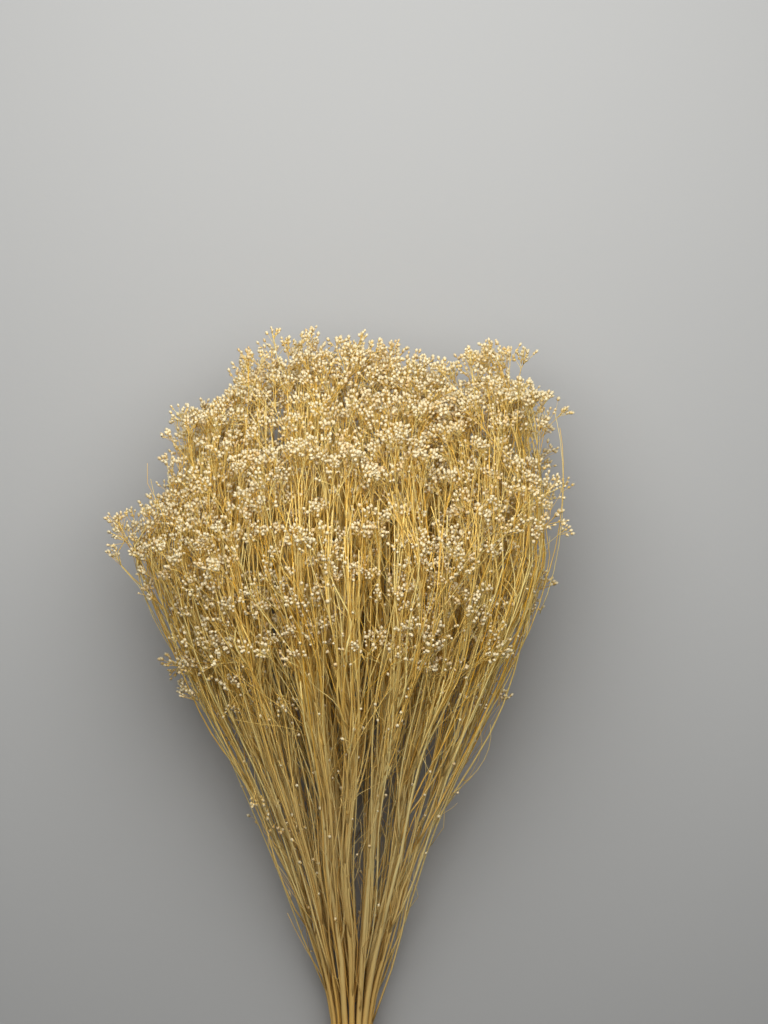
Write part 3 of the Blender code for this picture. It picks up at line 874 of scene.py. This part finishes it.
class BroomBloomStage(bpy.types.PropertyGroup):
    """Light and camera"""

    key_power: bpy.props.FloatProperty(
        name="Key light", description="Power of the large light over the heads", default=8.1, unit="POWER"
    )
    fill_power: bpy.props.FloatProperty(
        name="Fill light", description="Power of the wide light overhead", default=1.5, unit="POWER"
    )
    camera_height: bpy.props.FloatProperty(
        name="Camera height", description="Of the camera above the floor", default=1.80, unit="LENGTH"
    )


def make_strands(name, strands, material, rng):
    """One mesh of every strand of a spray, each with a tone of its own that is paler where it is thick."""
    points, faces, maps, tones = [], [], [], []
    offset = 0
    for paths, radii, sides in strands:
        if not len(paths):
            continue
        tone = rng.normal(MIDDLE_TONE, TONE_SPREAD, len(paths)) + THICK_PALENESS * radii.mean(axis=1)
        shell = tube_shell(paths, radii, sides, np.clip(tone, 0.0, 1.0), offset)
        points.append(shell[0])
        faces += shell[1]
        maps += shell[2]
        tones.append(shell[3])
        offset += len(shell[0])
    points = above_floor(np.concatenate(points))
    return make_piece(name, points, faces, material, {"tone": np.concatenate(tones)}, np.concatenate(maps))


def make_buds(name, feet, ways, tones, material, sizes, rng):
    """One mesh of every bud of a spray, each of its own size and stoutness."""
    size = rng.uniform(*BUD_SIZES, len(feet))
    stoutness = rng.uniform(*BUD_STOUTNESS, len(feet))
    lengths, widths = sizes.bud_length * size, sizes.bud_width * size * stoutness
    points, faces, height, tone = bud_shell(feet, ways, lengths, widths, tones)
    return make_piece(name, above_floor(points), faces, material, {"tone": tone, "height": height})


class BROOM_OT_sprays(bpy.types.Operator):
    """Grow the stems, twigs and buds of every spray"""

    bl_idname = "broom.sprays"
    bl_label = "Grow Sprays"

    def execute(self, context):
        sizes, colours = context.scene.broom_sizes, context.scene.broom_colours
        straw, husk = dried_straw_stem(colours), dried_bud_husk(colours)
        for index, (ring, angle) in enumerate(cells()):
            name = f"spray_{index:02d}"
            rng = np.random.default_rng(900 + index)
            strands, feet, ways, tones = grow(index, ring, angle)
            stems = make_strands(f"{name}_stems", strands, straw, rng)
            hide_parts(name)
            buds = make_buds(f"{name}_buds", feet, ways, tones, husk, sizes, rng)
            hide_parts(name)
        return {"FINISHED"}


def rounded(values):
    """Cosines or sines, pushed outwards so that the circle they draw turns into a rounded rectangle."""
    return np.sign(values) * np.abs(values) ** TIE_ROUNDNESS


def tie_shell():
    """The tie: a rounded rectangle carried along a helix round the neck, with both ends closed.

    The helix is lifted by a bell where it lies over itself, and its end is tucked back to its start.
    """
    share = np.linspace(0.0, 1.0, TIE_STEPS)
    angle = 2 * math.pi * TIE_TURNS * share + TIE_START
    radius = NECK_RADIUS + CLEAR + TIE_SEAT * TIE_THICKNESS
    for middle, length, lift in TIE_LIFTS:
        radius = radius + lift * np.exp(-(((share - middle) / length) ** 2))
    along = TIE_TURN_WIDTH * TIE_TURNS * (share - 0.5)
    tucked = np.clip((share - TIE_TUCK) / (1.0 - TIE_TUCK), 0.0, 1.0)
    along = along + (along[0] - along) * tucked
    outward = np.stack([np.cos(angle), np.zeros(TIE_STEPS), np.sin(angle)], axis=-1)
    centre = np.array((AXIS_X, TIE_AT - LENGTH / 2, NECK_RADIUS + CLEAR + TIE_THICKNESS))
    path = centre + radius[:, None] * outward + along[:, None] * (0.0, 1.0, 0.0)
    turn = 2 * math.pi * np.arange(TIE_SIDES) / TIE_SIDES
    wide = TIE_SECTION[0] * TIE_TURN_WIDTH * rounded(np.cos(turn))
    thick = TIE_SECTION[1] * TIE_THICKNESS * rounded(np.sin(turn))
    points = path[:, None] + wide[:, None] * (0.0, 1.0, 0.0) + thick[:, None] * outward[:, None]
    index = np.arange(TIE_STEPS * TIE_SIDES).reshape(TIE_STEPS, TIE_SIDES)
    after = np.roll(index, -1, axis=1)
    quads = np.stack([index[:-1], after[:-1], after[1:], index[1:]], axis=-1).reshape(-1, 4)
    return points.reshape(-1, 3), [quads, index[:1, ::-1], index[-1:]]


class BROOM_OT_tie(bpy.types.Operator):
    """Wind the rubber tie round the stems"""

    bl_idname = "broom.tie"
    bl_label = "Wind Tie"

    def execute(self, context):
        tie = make_piece("rubber_tie", *tie_shell(), natural_rubber(context.scene.broom_colours), {})
        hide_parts("tie")
        return {"FINISHED"}


def add_light(name, power, size, spot, aim):
    """A round soft light at a spot, turned towards its aim."""
    data = bpy.data.lights.new(name, "AREA")
    data.shape = "DISK"
    data.size = size
    data.energy = power
    light = bpy.data.objects.new(name, data)
    light.location = spot
    x, y, z = np.array(aim) - np.array(spot)
    light.rotation_euler = (math.atan2(math.hypot(x, y), -z), 0.0, math.atan2(-x, y))
    bpy.context.scene.collection.objects.link(light)


class BROOM_OT_stage(bpy.types.Operator):
    """Set the floor, the lights and the camera"""

    bl_idname = "broom.stage"
    bl_label = "Set Stage"

    def execute(self, context):
        stage = context.scene.broom_stage
        half = FLOOR_HALF
        corners = [(-half, -half, 0), (half, -half, 0), (half, half, 0), (-half, half, 0)]
        mesh = bpy.data.meshes.new("floor")
        mesh.from_pydata(corners, [], [(0, 1, 2, 3)])
        mesh.materials.append(matt_paint(context.scene.broom_colours))
        floor = bpy.data.objects.new("floor", mesh)
        context.scene.collection.objects.link(floor)
        add_light("key_light", stage.key_power, *KEY_LIGHT)
        add_light("fill_light", stage.fill_power, *FILL_LIGHT)
        world = bpy.data.worlds.new("studio")
        world.use_nodes = True
        background = world.node_tree.nodes["Background"]
        background.inputs["Color"].default_value = colour(WORLD_COLOUR)
        background.inputs["Strength"].default_value = WORLD_STRENGTH
        context.scene.world = world
        data = bpy.data.cameras.new("camera")
        data.sensor_width = SENSOR_MM
        data.lens = SENSOR_MM * (stage.camera_height - PICTURE_PLANE) / (IMAGE_HEIGHT * PIXEL)
        camera = bpy.data.objects.new("camera", data)
        across = AXIS_X + (IMAGE_WIDTH / 2 - AXIS_COLUMN) * PIXEL
        along = HIDDEN_LENGTH + IMAGE_HEIGHT / 2 * PIXEL - LENGTH / 2
        camera.location = (across, along, stage.camera_height)
        context.scene.collection.objects.link(camera)
        context.scene.camera = camera
        context.scene.view_settings.view_transform = "Standard"
        return {"FINISHED"}


class BROOM_PT_panel(bpy.types.Panel):
    """Lists the bundle's makers"""

    bl_idname = "BROOM_PT_panel"
    bl_label = "Broom Bloom"
    bl_space_type = "VIEW_3D"
    bl_region_type = "UI"
    bl_category = "Broom Bloom"

    def draw(self, context):
        layout = self.layout
        for operator in ("broom.sprays", "broom.tie", "broom.stage"):
            layout.operator(operator)
        for group in (context.scene.broom_sizes, context.scene.broom_colours, context.scene.broom_stage):
            box = layout.box()
            for name in group.__annotations__:
                box.prop(group, name)


CLASSES = (BroomBloomSizes, BroomBloomColours, BroomBloomStage, BROOM_OT_sprays, BROOM_OT_tie,
           BROOM_OT_stage, BROOM_PT_panel)


def register():
    for made in CLASSES:
        bpy.utils.register_class(made)
    bpy.types.Scene.broom_sizes = bpy.props.PointerProperty(type=BroomBloomSizes)
    bpy.types.Scene.broom_colours = bpy.props.PointerProperty(type=BroomBloomColours)
    bpy.types.Scene.broom_stage = bpy.props.PointerProperty(type=BroomBloomStage)


def unregister():
    del bpy.types.Scene.broom_sizes
    del bpy.types.Scene.broom_colours
    del bpy.types.Scene.broom_stage
    for made in reversed(CLASSES):
        bpy.utils.unregister_class(made)


def main():
    register()
    bpy.ops.broom.sprays()
    bpy.ops.broom.tie()
    bpy.ops.broom.stage()


if __name__ == "__main__":
    main()
